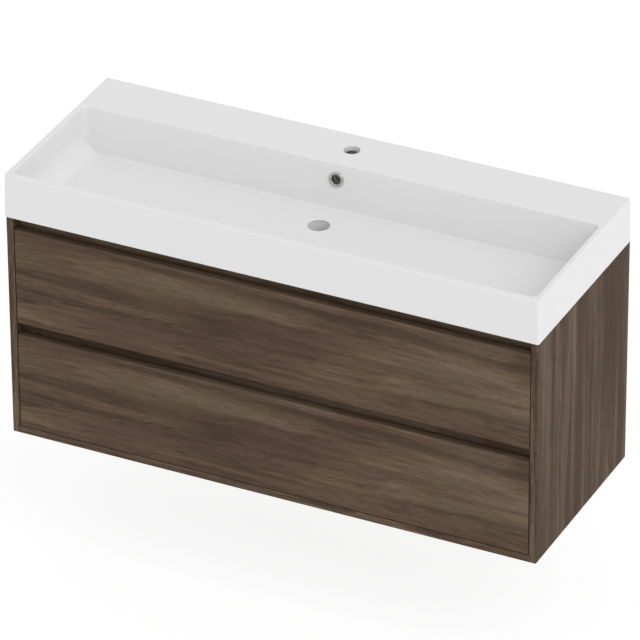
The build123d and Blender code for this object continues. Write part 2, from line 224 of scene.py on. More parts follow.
def clearSelection():
    if bpy.context.object and bpy.context.object.mode != "OBJECT":
        bpy.ops.object.mode_set(mode="OBJECT")
    bpy.ops.object.select_all(action="DESELECT")


def makeActive(piece):
    clearSelection()
    piece.select_set(True)
    bpy.context.view_layer.objects.active = piece


def settle(piece, name):
    # the place goes into the mesh, so that the object sits at the origin
    piece.name = name
    piece.data.name = name
    makeActive(piece)
    bpy.ops.object.transform_apply(location=True, rotation=True, scale=True)
    return piece


def addBlock(name, low, high):
    # a cube stretched between its lowest and highest corner
    low, high = Vector(low), Vector(high)
    clearSelection()
    bpy.ops.mesh.primitive_cube_add(size=1, location=(low + high) / 2, scale=high - low)
    return settle(bpy.context.object, name)


def addRod(name, radius, start, end, sides=32):
    # a cylinder from one point to another along a main axis
    start, end = Vector(start), Vector(end)
    way = (end - start).to_track_quat("Z", "Y").to_euler()
    clearSelection()
    bpy.ops.mesh.primitive_cylinder_add(vertices=sides, radius=radius, rotation=way,
                                        depth=(end - start).length, location=(start + end) / 2)
    return settle(bpy.context.object, name)


def pick(piece, kind, test):
    # edit mode with just the vertices, edges or faces that pass the test selected
    makeActive(piece)
    bpy.ops.object.mode_set(mode="EDIT")
    bpy.ops.mesh.select_mode(type=kind)
    bpy.ops.mesh.select_all(action="DESELECT")
    cage = bmesh.from_edit_mesh(piece.data)
    group = {"VERT": cage.verts, "EDGE": cage.edges, "FACE": cage.faces}[kind]
    for item in group:
        item.select_set(test(item))
    cage.select_flush_mode()
    bmesh.update_edit_mesh(piece.data)


def leaveEdit():
    bpy.ops.object.mode_set(mode="OBJECT")


def roundEdges(piece, width, steps, test):
    pick(piece, "EDGE", test)
    bpy.ops.mesh.bevel(offset=width, segments=steps, affect="EDGES", clamp_overlap=True)
    leaveEdit()


def anyEdge(edge):
    return True


def alongZ(edge):
    a, b = (v.co for v in edge.verts)
    return abs(a.z - b.z) > 0.9 * (a - b).length


def atHeight(z):
    return lambda edge: all(abs(v.co.z - z) < reach["same"] for v in edge.verts)


def combine(piece, other, how):
    # cuts, joins or crosses with another solid, which is used up
    makeActive(piece)
    change = piece.modifiers.new("combine", "BOOLEAN")
    change.operation = how
    change.solver = "EXACT"
    change.object = other
    bpy.ops.object.modifier_apply(modifier=change.name)
    bpy.data.objects.remove(other)
    return piece


def tidyMesh(piece):
    # merges what the cuts left double and turns all faces outwards
    makeActive(piece)
    bpy.ops.object.mode_set(mode="EDIT")
    bpy.ops.mesh.select_all(action="SELECT")
    bpy.ops.mesh.remove_doubles(threshold=1e-6)
    bpy.ops.mesh.normals_make_consistent(inside=False)
    leaveEdit()


def smoothShade(piece, angle=35):
    makeActive(piece)
    bpy.ops.object.shade_smooth_by_angle(angle=math.radians(angle))
    weigh = piece.modifiers.new("weigh", "WEIGHTED_NORMAL")
    weigh.keep_sharp = True
    bpy.ops.object.modifier_apply(modifier=weigh.name)


def dress(piece, body, slotName, finishes, *nodes, rule=None):
    # finishes, shading and body; rule(face) gives the number of a face's finish
    for finish in finishes:
        piece.data.materials.append(finish)
    if rule:
        for face in piece.data.polygons:
            face.material_index = rule(face)
    smoothShade(piece)
    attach(piece, body)
    if nodes:
        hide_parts(*nodes)
    return piece


def joinPieces(name, pieces):
    clearSelection()
    for piece in pieces:
        piece.select_set(True)
    bpy.context.view_layer.objects.active = pieces[0]
    bpy.ops.object.join()
    return settle(bpy.context.object, name)


# Finishes

def driftingFinish(name, fixed, look):
    # colour and roughness drift together; look has the marks' size in millimetres
    finish, tree, shader = newFinish(name, fixed)
    place = addNode(tree, "TexCoord").outputs["Object"]
    drift = grainNoise(tree, place, look["long"] / 1000, look["wide"] / 1000, look["detail"])
    ramp = addNode(tree, "ValToRGB", {}, {0: drift},
                   [(0.3, colour(look["dark"])), (0.7, colour(look["light"]))])
    tree.links.new(ramp.outputs[0], shader.inputs["Base Color"])
    rough = addNode(tree, "MapRange", {}, {0: drift, 1: 0.3, 2: 0.7,
                                           3: look["smooth"], 4: look["rough"]})
    tree.links.new(rough.outputs[0], shader.inputs["Roughness"])
    if "relief" in look:
        bumped(tree, shader, drift, look["relief"] / 1000, look["reliefShare"])
    return finish


# Sanitary ware: a white glaze fired on, glossy but with the soft waves of a poured glaze
glazeLook = {"white": "#E3E3E3", "gloss": 0.28, "wave": 22, "waveDepth": 0.2, "waveShare": 0.12}


def glazeFinish():
    finish, tree, shader = newFinish("sanitary glaze, fired", {
        "Base Color": colour(glazeLook["white"]), "Roughness": glazeLook["gloss"], "IOR": 1.5,
        "Specular IOR Level": 0.35})
    place = addNode(tree, "TexCoord").outputs["Object"]
    across = glazeLook["wave"] / 1000
    wave = grainNoise(tree, place, across, across, 1.0)
    bumped(tree, shader, wave, glazeLook["waveDepth"] / 1000, glazeLook["waveShare"])
    return finish


# The foot and the hollow underside stay unglazed: fired body, cream and a little gritty
biscuitLook = {"long": 3, "wide": 3, "detail": 3.0, "dark": "#D9D5CC", "light": "#E6E3DB",
               "smooth": 0.7, "rough": 0.85, "relief": 0.3, "reliefShare": 0.3}


# Decor paper with a walnut print under matt melamine: a flat, dull figure with brushed pores
walnut = {
    "dark": "#453629",
    "middle": "#5E4D3F",
    "light": "#70604E",
    "red": "#544035",
    "olive": "#605442",
    "pore": "#38291F",
    "bandShare": 0.56,       # how much each kind of mark counts in the tone
    "streakShare": 0.22,
    "fibreShare": 0.22,
    "ringShare": 0.010,
    "oliveShare": 0.35,
    "poreShare": 0.45,
    "smooth": 0.60,
    "rough": 0.72,
    "relief": 0.12,
    "reliefShare": 0.35,
}


def walnutFinish(name, along, look, start=(0, 0, 0), repeat=None):
    # along is the grain's axis; look holds the sizes of the figure's marks in millimetres
    finish, tree, shader = newFinish(name, {"IOR": 1.5, "Specular IOR Level": 0.12})
    place = addNode(tree, "TexCoord").outputs["Object"]
    if repeat:               # every front is cut from the same repeat of the decor
        low, pitch = repeat
        parts = addNode(tree, "SeparateXYZ", {}, {0: place})
        height = addNode(tree, "Math", {"operation": "WRAP"},
                         {0: parts.outputs["Z"], 1: low + pitch, 2: low}).outputs[0]
        place = addNode(tree, "CombineXYZ", {}, {0: parts.outputs["X"], 1: parts.outputs["Y"],
                                                 2: height}).outputs[0]
    turns = {"X": (0, 0, 0), "Z": (0, math.radians(90), 0)}
    place = addNode(tree, "Mapping", {}, {"Vector": place, "Rotation": turns[along],
                                          "Location": start}).outputs[0]
    size = metres(look)
    sway = grainNoise(tree, place, size["swayLong"], size["swayWide"], 2.0)
    drift = maths(tree, "MULTIPLY", maths(tree, "SUBTRACT", sway, 0.5), size["swayDepth"] * 2)
    aside = addNode(tree, "CombineXYZ", {}, {1: drift, 2: drift}).outputs[0]
    place = addNode(tree, "VectorMath", {"operation": "ADD"}, {0: place, 1: aside}).outputs[0]

    bands = grainNoise(tree, place, size["bandLong"], size["bandWide"], 3.0, 0.55)
    streaks = grainNoise(tree, place, size["streakLong"], size["streakWide"], 3.0, 0.6)
    fibres = grainNoise(tree, place, size["fibreLong"], size["fibreWide"], 2.0, 0.6)
    pores = grainNoise(tree, place, size["poreLong"], size["poreWide"], 1.0)
    zones = grainNoise(tree, place, size["zoneLong"], size["zoneWide"], 1.0)

    rings = maths(tree, "SINE", maths(tree, "MULTIPLY", bands, look["ringCount"] * 2 * math.pi))
    tone = look["lift"]
    for marks, share in ((bands, "bandShare"), (streaks, "streakShare"),
                         (fibres, "fibreShare"), (rings, "ringShare")):
        tone = maths(tree, "MULTIPLY_ADD", marks, walnut[share], tone)
    tone = maths(tree, "MULTIPLY_ADD", maths(tree, "SUBTRACT", tone, 0.5), look["contrast"], 0.5)
    ramp = addNode(tree, "ValToRGB", {}, {0: tone},
                   [(0.40, colour(walnut["dark"])), (0.51, colour(walnut["middle"])),
                    (0.62, colour(walnut["light"]))])
    redShare = addNode(tree, "MapRange", {}, {0: zones, 1: 0.50, 2: 0.62, 3: 0.0,
                                              4: look["redness"]})
    oliveShare = addNode(tree, "MapRange", {}, {0: zones, 1: 0.46, 2: 0.32, 3: 0.0,
                                                4: walnut["oliveShare"]})
    shade = mixed(tree, "MIX", redShare.outputs[0], ramp.outputs[0], colour(walnut["red"]))
    shade = mixed(tree, "MIX", oliveShare.outputs[0], shade, colour(walnut["olive"]))
    poreShare = addNode(tree, "MapRange", {}, {0: pores, 1: 0.60, 2: 0.74, 3: 0.0,
                                               4: walnut["poreShare"]})
    shade = mixed(tree, "MIX", poreShare.outputs[0], shade, colour(walnut["pore"]))
    tree.links.new(shade, shader.inputs["Base Color"])
    rough = addNode(tree, "MapRange", {}, {0: streaks, 1: 0.3, 2: 0.7,
                                           3: walnut["smooth"], 4: walnut["rough"]})
    tree.links.new(rough.outputs[0], shader.inputs["Roughness"])
    bumped(tree, shader, maths(tree, "SUBTRACT", fibres, poreShare.outputs[0]),
           walnut["relief"] / 1000, walnut["reliefShare"])
    return finish


# Millimetres. The finest marks of the print are under 1 mm; they are drawn about 2.5 mm wide,
# because one pixel of the render is that wide on the object
faceLook = {"swayLong": 300, "swayWide": 110, "swayDepth": 15, "bandLong": 640, "bandWide": 34,
            "streakLong": 220, "streakWide": 9, "fibreLong": 42, "fibreWide": 2.8,
            "poreLong": 22, "poreWide": 2.4, "zoneLong": 420, "zoneWide": 60, "ringCount": 9,
            "lift": -0.012, "contrast": 1.05, "redness": 0.45}
sideLook = dict(faceLook, lift=-0.045, contrast=1.4, redness=0.3, swayDepth=7, bandLong=900,
                streakLong=340, fibreLong=60)
railLook = dict(faceLook, lift=0.0, redness=0.0)
edgeLook = {"swayLong": 110, "swayWide": 60, "swayDepth": 7, "bandLong": 150, "bandWide": 7,
            "streakLong": 60, "streakWide": 3.2, "fibreLong": 24, "fibreWide": 1.8,
            "poreLong": 16, "poreWide": 1.6, "zoneLong": 260, "zoneWide": 60, "ringCount": 3,
            "lift": -0.02, "contrast": 1.1, "redness": 0.3}


# Chipboard: glued wood flakes, seen where a hidden edge has no banding
chipLook = {"flake": 3.2, "dark": "#7E6546", "middle": "#A98D66", "light": "#C9B08A",
            "smooth": 0.75, "rough": 0.95, "relief": 0.6, "reliefShare": 0.5}


def chipboardFinish():
    finish, tree, shader = newFinish("chipboard edge", {"IOR": 1.45})
    place = addNode(tree, "TexCoord").outputs["Object"]
    flakes = addNode(tree, "TexVoronoi", {}, {"Vector": place, "Scale": 1000 / chipLook["flake"],
                                              "Randomness": 1.0})
    shares = addNode(tree, "SeparateColor", {}, {0: flakes.outputs["Color"]})
    ramp = addNode(tree, "ValToRGB", {}, {0: shares.outputs[0]},
                   [(0.0, colour(chipLook["dark"])), (0.5, colour(chipLook["middle"])),
                    (1.0, colour(chipLook["light"]))])
    tree.links.new(ramp.outputs[0], shader.inputs["Base Color"])
    rough = addNode(tree, "MapRange", {}, {0: shares.outputs[1], 3: chipLook["smooth"],
                                           4: chipLook["rough"]})
    tree.links.new(rough.outputs[0], shader.inputs["Roughness"])
    bumped(tree, shader, flakes.outputs["Distance"], chipLook["relief"] / 1000,
           chipLook["reliefShare"])
    return finish


# Drawer boards: light grey melamine with a pressed linen structure. The real threads are 0.8 mm
# apart; they are drawn wider so that they show
linenLook = {"thread": 2.4, "slub": 12, "cloud": 140, "dark": "#AFADA8", "light": "#C2C0BB",
             "cloudTint": "#E2E0DC", "smooth": 0.48, "rough": 0.6, "relief": 0.15,
             "reliefShare": 0.3}


def linenFinish():
    finish, tree, shader = newFinish("linen melamine, light grey", {"IOR": 1.5})
    place = addNode(tree, "TexCoord").outputs["Object"]
    thread, slub, across = (linenLook[mark] / 1000 for mark in ("thread", "slub", "cloud"))
    warp = addNode(tree, "TexWave", {"bands_direction": "DIAGONAL"},
                   {"Vector": place, "Scale": 0.5 / thread, "Distortion": 1.2, "Detail": 1.0,
                    "Detail Scale": 2.0})
    weft = maths(tree, "MULTIPLY", grainNoise(tree, place, slub, thread, 2.0), 0.6)
    weave = maths(tree, "MULTIPLY_ADD", warp.outputs["Fac"], 0.4, weft)
    cloud = grainNoise(tree, place, across, across, 2.0)
    ramp = addNode(tree, "ValToRGB", {}, {0: weave},
                   [(0.25, colour(linenLook["dark"])), (0.75, colour(linenLook["light"]))])
    faint = addNode(tree, "ValToRGB", {}, {0: cloud},
                    [(0.3, colour(linenLook["cloudTint"])), (0.7, colour("#FFFFFF"))])
    shade = mixed(tree, "MULTIPLY", 0.25, ramp.outputs[0], faint.outputs[0])
    tree.links.new(shade, shader.inputs["Base Color"])
    rough = addNode(tree, "MapRange", {}, {0: weave, 1: 0.2, 2: 0.8, 3: linenLook["smooth"],
                                           4: linenLook["rough"]})
    tree.links.new(rough.outputs[0], shader.inputs["Roughness"])
    bumped(tree, shader, weave, linenLook["relief"] / 1000, linenLook["reliefShare"])
    return finish


# The drawer boards' edge band: the same grey, moulded smooth
linenEdgeLook = {"long": 50, "wide": 10, "detail": 2.0, "dark": "#B3B1AC", "light": "#BBB9B4",
                 "smooth": 0.40, "rough": 0.5}

# Chromed brass: plated bright, a mirror with faint polishing haze
chromeLook = {"long": 6, "wide": 6, "detail": 2.0, "dark": "#C3C4C5", "light": "#D3D4D5",
              "smooth": 0.05, "rough": 0.14}

# Acetal: moulded natural-white cage strips, slightly waxy
acetalLook = {"long": 10, "wide": 10, "detail": 2.0, "dark": "#C9C8C2", "light": "#D8D7D2",
              "smooth": 0.38, "rough": 0.5}

# Beech: turned dowels with short flecks along the grain
beechLook = {"long": 20, "wide": 0.8, "detail": 2.0, "dark": "#B08A5E", "light": "#D2B083",
             "smooth": 0.55, "rough": 0.75}


# Zinc-plated strip steel: rolled along its length, grey with a slight bluish passivation
zincLook = {"rollLong": 120, "rollWide": 1.2, "cloudLong": 30, "cloudWide": 20,
            "dark": "#8F9396", "middle": "#A8ABAD", "light": "#B9BBBA",
            "smooth": 0.3, "rough": 0.46, "relief": 0.04, "reliefShare": 0.3}


def zincFinish():
    finish, tree, shader = newFinish("zinc plate on rolled steel", {"Metallic": 1.0})
    place = addNode(tree, "TexCoord").outputs["Object"]
    turned = addNode(tree, "Mapping", {}, {"Vector": place,
                                           "Rotation": (0, 0, math.radians(-90))}).outputs[0]
    rolled = grainNoise(tree, turned, zincLook["rollLong"] / 1000, zincLook["rollWide"] / 1000, 2.0)
    cloud = grainNoise(tree, turned, zincLook["cloudLong"] / 1000, zincLook["cloudWide"] / 1000,
                       2.0)
    tone = maths(tree, "MULTIPLY_ADD", rolled, 0.5, maths(tree, "MULTIPLY", cloud, 0.5))
    ramp = addNode(tree, "ValToRGB", {}, {0: tone},
                   [(0.32, colour(zincLook["dark"])), (0.5, colour(zincLook["middle"])),
                    (0.68, colour(zincLook["light"]))])
    tree.links.new(ramp.outputs[0], shader.inputs["Base Color"])
    rough = addNode(tree, "MapRange", {}, {0: tone, 1: 0.3, 2: 0.7, 3: zincLook["smooth"],
                                           4: zincLook["rough"]})
    tree.links.new(rough.outputs[0], shader.inputs["Roughness"])
    bumped(tree, shader, rolled, zincLook["relief"] / 1000, zincLook["reliefShare"])
    return finish


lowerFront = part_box("lower_drawer_front")
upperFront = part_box("upper_drawer_front")
frontPitch = upperFront[0].z - lowerFront[0].z
repeatStart = lowerFront[0].z - 0.01      # a little under the lower front

glaze = glazeFinish()
biscuit = driftingFinish("fired body, unglazed", {"IOR": 1.5}, biscuitLook)
walnutFront = walnutFinish("walnut decor, fronts", "X", faceLook, (0.31, 0.0, 0.12),
                           (repeatStart, frontPitch))
walnutSide = walnutFinish("walnut decor, sides", "Z", sideLook, (0.7, 0.2, 0.4))
walnutRail = walnutFinish("walnut decor, rails", "X", railLook, (1.9, 0.5, 0.9))
bandUpright = walnutFinish("walnut edge band, upright", "Z", edgeLook, (0.2, 0.9, 1.4))
bandLevel = walnutFinish("walnut edge band, level", "X", edgeLook, (2.2, 0.1, 0.6))
chipboard = chipboardFinish()
linen = linenFinish()
linenEdge = driftingFinish("edge band, light grey", {"IOR": 1.5}, linenEdgeLook)
chrome = driftingFinish("chrome plate on brass", {"Metallic": 1.0}, chromeLook)
zinc = zincFinish()
acetal = driftingFinish("moulded acetal, natural", {"IOR": 1.48}, acetalLook)
beech = driftingFinish("beech, turned", {"IOR": 1.45}, beechLook)
print("finishes made")


# Washbasin: one casting with an even wall, open underneath

basin = metres({
    "draft": 1.75,           # each face leans in by this much over its height
    "corner": 3.5,
    "topRound": 2.5,
    "footRound": 1.0,
    "rim": 12,
    "deck": 128,
    "bowlDepth": 97,
    "endRun": 3,
    "endCove": 50,           # the large round between each end and the floor
    "backRun": 20,
    "floorFront": 395,       # from the wall
    "mouthCorner": 14,
    "floorCorner": 24,
    "rimRound": 7,
    "floorRound": 4,
    "wall": 12,
    "panDrop": 9,            # the bowl's underside hangs this far into the cabinet
    "panBorder": 6,
    "panEnd": 22,
    "panRound": 6,
    "ribAt": 200,
    "tapHole": 17.5,
    "tapFromWall": 61.5,
    "wasteHole": 23,
    "wasteFromWall": 219,
    "bossWall": 15,
    "bossDepth": 50,
    "bossRound": 2,
    "wasteRound": 3,
    "overflowDrop": 33,
    "overflowHole": 12.2,
    "ductWidth": 40,
    "ductDepth": 13,
    "ductHeight": 9,
    "ductWall": 8,
    "ductBelow": 30,         # under the floor, too low to be seen through the waste
    "boltHole": 7,
    "boltAt": 280,
    "boltDrop": 48,
    "holeRound": 1.6,
})
# How far the glaze runs on past each edge before the bare body begins
glazeEnds = metres({"foot": 2, "skirt": 8, "back": 4, "bowl": 4, "floor": 3, "outlet": 4,
                    "tap": 3, "deck": 4})
ring = metres({"radius": 17, "bore": 10.5, "lip": 3, "sleeve": 11.9, "length": 12, "edge": 1.3})
basinLow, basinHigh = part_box("washbasin")
basinTop = basinHigh.z
basinFoot = basinTop - 0.100
basinHalf = basinHigh.x
basinFront = basinLow.y
bowlFloor = basinTop - basin["bowlDepth"]


def bowlOutline(z, grow=0.0):
    # half width, front, back, height and corner radius of the bowl at a height
    share = (z - bowlFloor) / basin["bowlDepth"]
    mouthHalf = basinHalf - basin["draft"] - basin["rim"]
    mouthFront = basinFront + basin["draft"] + basin["rim"]
    half = mouthHalf - basin["endRun"] * (1 - share)
    front = mouthFront + (-basin["floorFront"] - mouthFront) * (1 - share)
    back = -basin["deck"] - basin["backRun"] * (1 - share)
    corner = basin["mouthCorner"] + (basin["floorCorner"] - basin["mouthCorner"]) * (1 - share)
    return half + grow, front - grow, back + grow, z, corner + grow


def addTapered(name, lower, upper, steps=12):
    # two rounded rectangles, bridged and closed at both ends
    plates = []
    for half, front, back, z, corner in (lower, upper):
        clearSelection()
        bpy.ops.mesh.primitive_plane_add(size=1, location=(0, (front + back) / 2, z))
        bpy.ops.transform.resize(value=(2 * half, back - front, 1))
        plate = settle(bpy.context.object, name)
        pick(plate, "VERT", lambda vert: True)
        bpy.ops.mesh.bevel(offset=corner, segments=steps, affect="VERTICES")
        leaveEdit()
        plates.append(plate)
    solid = joinPieces(name, plates)
    makeActive(solid)
    bpy.ops.object.mode_set(mode="EDIT")
    bpy.ops.mesh.select_all(action="SELECT")
    bpy.ops.mesh.bridge_edge_loops()
    bpy.ops.mesh.select_all(action="SELECT")
    bpy.ops.mesh.fill_holes(sides=0)
    leaveEdit()
    tidyMesh(solid)
    return solid


def basinOutside():
    body = addBlock("washbasin_glazed", (-basinHalf, basinFront, basinFoot),
                    (basinHalf, 0, basinTop))
    lean = basin["draft"]
    for side in (-1, 1):
        pick(body, "VERT", lambda v: v.co.z > basinTop - reach["slack"] and v.co.x * side > 0)
        bpy.ops.transform.translate(value=(-side * lean, 0, 0))
        leaveEdit()
    pick(body, "VERT", lambda v: v.co.z > basinTop - reach["slack"] and v.co.y < basinFront / 2)
    bpy.ops.transform.translate(value=(0, lean, 0))
    leaveEdit()
    roundEdges(body, basin["corner"], 5, alongZ)
    roundEdges(body, basin["topRound"], 5, atHeight(basinTop))
    roundEdges(body, basin["footRound"], 2, atHeight(basinFoot))
    return body


def coved(solid, grow=0.0):
    # keeps what lies in a long trough whose floor and steep ends meet in a large round
    half = bowlOutline(basinTop, grow)[0]
    foot = bowlFloor - grow - reach["slack"]
    trough = addBlock("trough", (-half - reach["slack"], basinFront, foot),
                      (half + reach["slack"], 0, basinTop + reach["far"]))
    pick(trough, "VERT", lambda vert: vert.co.z < foot + reach["same"])
    bpy.ops.transform.resize(value=(1 - basin["endRun"] / half, 1, 1))
    leaveEdit()
    onFoot = atHeight(foot)

    def isEndFoot(edge):
        a, b = (v.co for v in edge.verts)
        return onFoot(edge) and abs(a.x - b.x) < reach["same"]
    roundEdges(trough, basin["endCove"] + grow, 16, isEndFoot)
    return combine(solid, trough, "INTERSECT")


def cutBowl(body):
    water = addTapered("water", bowlOutline(bowlFloor), bowlOutline(basinTop + reach["overlap"]))
    roundEdges(water, basin["floorRound"], 4, atHeight(bowlFloor))
    combine(body, coved(water), "DIFFERENCE")
    half, front, back, _, _ = bowlOutline(basinTop, reach["hair"])
    onTop = atHeight(basinTop)

    def isMouth(edge):
        middle = (edge.verts[0].co + edge.verts[1].co) / 2
        steep = any(abs(f.normal.z) < 0.9 for f in edge.link_faces)
        return onTop(edge) and steep and abs(middle.x) < half and front < middle.y < back
    roundEdges(body, basin["rimRound"], 6, isMouth)


def underside(body):
    # the hollow between the skirt and the bowl, less the ribs that stand in it
    wall = basin["wall"]
    below = basinFoot - reach["past"]
    hollow = addBlock("hollow", (-basinHalf + wall, basinFront + wall, basinFoot - reach["barely"]),
                      (basinHalf - wall, -wall, basinTop - wall))
    shell = addTapered("shell", bowlOutline(below, wall),
                       bowlOutline(basinTop + reach["barely"], wall))
    combine(hollow, coved(shell, wall), "DIFFERENCE")
    lowBack, highBack = bowlOutline(below)[2], bowlOutline(basinTop)[2]
    divider = addBlock("divider", (-basinHalf, highBack, below),
                       (basinHalf, highBack + wall, basinTop))
    pick(divider, "VERT", lambda vert: vert.co.z < basinFoot)
    bpy.ops.transform.translate(value=(0, lowBack - highBack, 0))
    leaveEdit()
    combine(hollow, divider, "DIFFERENCE")
    for place in (-2, -1, 0, 1, 2):
        left, right = (place * basin["ribAt"] + edge * wall / 2 for edge in (-1, 1))
        rib = addBlock("rib", (left, basinFront, below), (right, -basin["deck"], basinTop))
        combine(hollow, rib, "DIFFERENCE")
        if abs(place) == 1:
            rib = addBlock("rib", (left, -basin["deck"], below), (right, 0, basinTop))
            combine(hollow, rib, "DIFFERENCE")
    combine(body, hollow, "DIFFERENCE")


outlet = (0, -basin["wasteFromWall"])


def addUnderParts(body):
    # the pan under the bowl's floor, the outlet's boss and the overflow's duct
    _, front, back, _, corner = bowlOutline(bowlFloor, basin["panBorder"])
    half = bowlOutline(basinTop)[0] - basin["panEnd"]
    foot = basinFoot - basin["panDrop"]
    inFloor = bowlFloor - reach["overlap"]
    pan = addTapered("pan", (half, front, back, foot, corner), (half, front, back, inFloor, corner))
    roundEdges(pan, basin["panRound"], 3, atHeight(foot))
    combine(body, pan, "UNION")
    bossFoot = bowlFloor - basin["bossDepth"]
    boss = addRod("boss", basin["wasteHole"] + basin["bossWall"],
                  (*outlet, bossFoot), (*outlet, inFloor), 64)
    roundEdges(boss, basin["bossRound"], 2, atHeight(bossFoot))
    combine(body, boss, "UNION")
    channel = bowlFloor - basin["ductBelow"]
    wallBehind = -basin["deck"] + basin["wall"]
    # first the casing, then the way for the water in it
    for grow, how, front, top, ceiling in (
            (basin["ductWall"], "UNION", wallBehind - basin["backRun"],
             bowlFloor - basin["wall"] / 2, basinTop - basin["wall"] / 2),
            (0.0, "DIFFERENCE", wallBehind,
             channel, basinTop - (basin["overflowDrop"] - ring["radius"]))):
        half = basin["ductWidth"] / 2 + grow
        bottom = channel - basin["ductHeight"] - grow
        back = wallBehind + basin["ductDepth"] + grow
        run = addBlock("run", (-half, outlet[1], bottom), (half, back, top))
        drop = addBlock("drop", (-half, front, bottom + reach["slack"]),
                        (half, back - reach["slack"], ceiling))
        combine(body, run, how)
        combine(body, drop, how)


def drillHole(body, radius, start, end, sides=64):
    combine(body, addRod("drill", radius, start, end, sides), "DIFFERENCE")


def onRing(centre, radius, axis):
    # edges on a circle round an axis through the centre
    centre = Vector(centre)
    axis = Vector(axis).normalized()

    def test(edge):
        for vert in edge.verts:
            arm = vert.co - centre
            along = arm.dot(axis)
            if abs(along) > reach["ringFlat"]:
                return False
            if abs((arm - axis * along).length - radius) > reach["ringRadius"]:
                return False
        return True
    return test


slope = basin["backRun"] / basin["bowlDepth"]
overflowPlace = Vector((0, -basin["deck"] - slope * basin["overflowDrop"],
                        basinTop - basin["overflowDrop"]))
overflowWay = Vector((0, -1, slope)).normalized()


def basinHoles(body):
    drillHole(body, basin["wasteHole"], (*outlet, bowlFloor - basin["bossDepth"] - reach["past"]),
              (*outlet, bowlFloor + reach["past"]))
    roundEdges(body, basin["wasteRound"], 4,
               onRing((*outlet, bowlFloor), basin["wasteHole"], (0, 0, 1)))
    tap = (0, -basin["tapFromWall"])
    drillHole(body, basin["tapHole"], (*tap, basinTop - reach["far"]),
              (*tap, basinTop + reach["past"]))
    roundEdges(body, basin["holeRound"], 4, onRing((*tap, basinTop), basin["tapHole"], (0, 0, 1)))
    drillHole(body, basin["overflowHole"],
              overflowPlace - overflowWay * (basin["wall"] + basin["ductDepth"]),
              overflowPlace + overflowWay * reach["past"])
    for side in (-1, 1):
        x, z = side * basin["boltAt"], basinTop - basin["boltDrop"]
        drillHole(body, basin["boltHole"], (x, -reach["far"], z), (x, reach["past"], z), 32)


def basinFace(face):
    # 1 for the unglazed foot and hollow, 0 for the glazed outside and bowl
    x, y, z = face.center
    if face.normal.z < -0.9 and z < basinFoot + glazeEnds["foot"]:
        return 1
    half, front, back, _, _ = bowlOutline(z, glazeEnds["bowl"])
    inBowl = abs(x) < half and front < y < back and z > bowlFloor - glazeEnds["floor"]
    nearOutlet = math.dist((x, y), outlet) < basin["wasteHole"] + glazeEnds["outlet"]
    nearTap = math.hypot(x, y + basin["tapFromWall"]) < basin["tapHole"] + glazeEnds["tap"]
    if nearOutlet or nearTap or inBowl:
        return 0
    insideSkirt = (abs(x) < basinHalf - glazeEnds["skirt"] and
                   basinFront + glazeEnds["skirt"] < y < -glazeEnds["back"])
    return 1 if insideSkirt and z < basinTop - glazeEnds["deck"] else 0


washbasin = basinOutside()
underside(washbasin)
addUnderParts(washbasin)
cutBowl(washbasin)
basinHoles(washbasin)
tidyMesh(washbasin)
dress(washbasin, "cabinet", "white_glaze", [glaze, biscuit], "washbasin", rule=basinFace)
print("washbasin modelled:", len(washbasin.data.polygons), "faces")


# Overflow ring: turned brass, its lip domed, chromed

def overflowRing():
    clearSelection()
    depth = ring["lip"]
    bpy.ops.mesh.primitive_cylinder_add(vertices=64, radius=ring["radius"], depth=depth,
                                        location=(0, 0, depth / 2))
    piece = settle(bpy.context.object, "overflow_ring_chrome")
    roundEdges(piece, ring["edge"], 4, atHeight(depth))
    sleeve = addRod("sleeve", ring["sleeve"], (0, 0, -ring["length"]), (0, 0, depth / 2), 64)
    combine(piece, sleeve, "UNION")
    drillHole(piece, ring["bore"], (0, 0, -ring["length"] - reach["past"]),
              (0, 0, depth + reach["past"]))
    roundEdges(piece, ring["edge"], 4, onRing((0, 0, depth), ring["bore"], (0, 0, 1)))
    turn = overflowWay.to_track_quat("Z", "Y").to_matrix().to_4x4()
    piece.matrix_world = Matrix.Translation(overflowPlace) @ turn
    settle(piece, "overflow_ring_chrome")
    tidyMesh(piece)
    return dress(piece, "cabinet", "bright_chrome", [chrome], "overflow_ring")


overflowRing()
print("overflow ring modelled")


# Walnut boards: eased banding round every board, chipboard where an edge is hidden

board = metres({"ease": 0.7})


def thinAxis(low, high):
    span = high - low
    return min(range(3), key=lambda i: span[i])


def walnutBoard(node, body, face, band, rawFaces=()):
    # rawFaces are (axis, side) pairs of edges that keep their bare chipboard
    low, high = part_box(node)
    piece = addBlock(node + "_board", low, high)
    roundEdges(piece, board["ease"], 3, anyEdge)
    thin = thinAxis(low, high)

    def rule(polygon):
        if any(polygon.normal[axis] * side > 0.9 for axis, side in rawFaces):
            return 2
        return 0 if abs(polygon.normal[thin]) > 0.75 else 1
    return dress(piece, body, "walnut_board", [face, band, chipboard], node, rule=rule)


for side in ("left", "right"):
    walnutBoard(f"side_panel_{side}", "cabinet", walnutSide, bandUpright, [(1, 1), (2, 1)])
walnutBoard("bottom_panel", "cabinet", walnutRail, bandLevel, [(1, 1)])
walnutBoard("middle_grip_rail", "cabinet", walnutRail, bandLevel)
walnutBoard("top_grip_rail", "cabinet", walnutRail, bandLevel, [(2, 1)])
walnutBoard("lower_back_rail", "cabinet", walnutRail, bandLevel, [(2, -1)])
walnutBoard("upper_back_rail", "cabinet", walnutRail, bandLevel)
for level in ("lower", "upper"):
    walnutBoard(f"{level}_drawer_front", f"{level}_drawer", walnutFront, walnutFront)
print("walnut boards made")


# Drawer boxes: linen boards with banded edges, grooved for their bottom

box = metres({"ease": 0.5, "grooveSlack": 0.2})


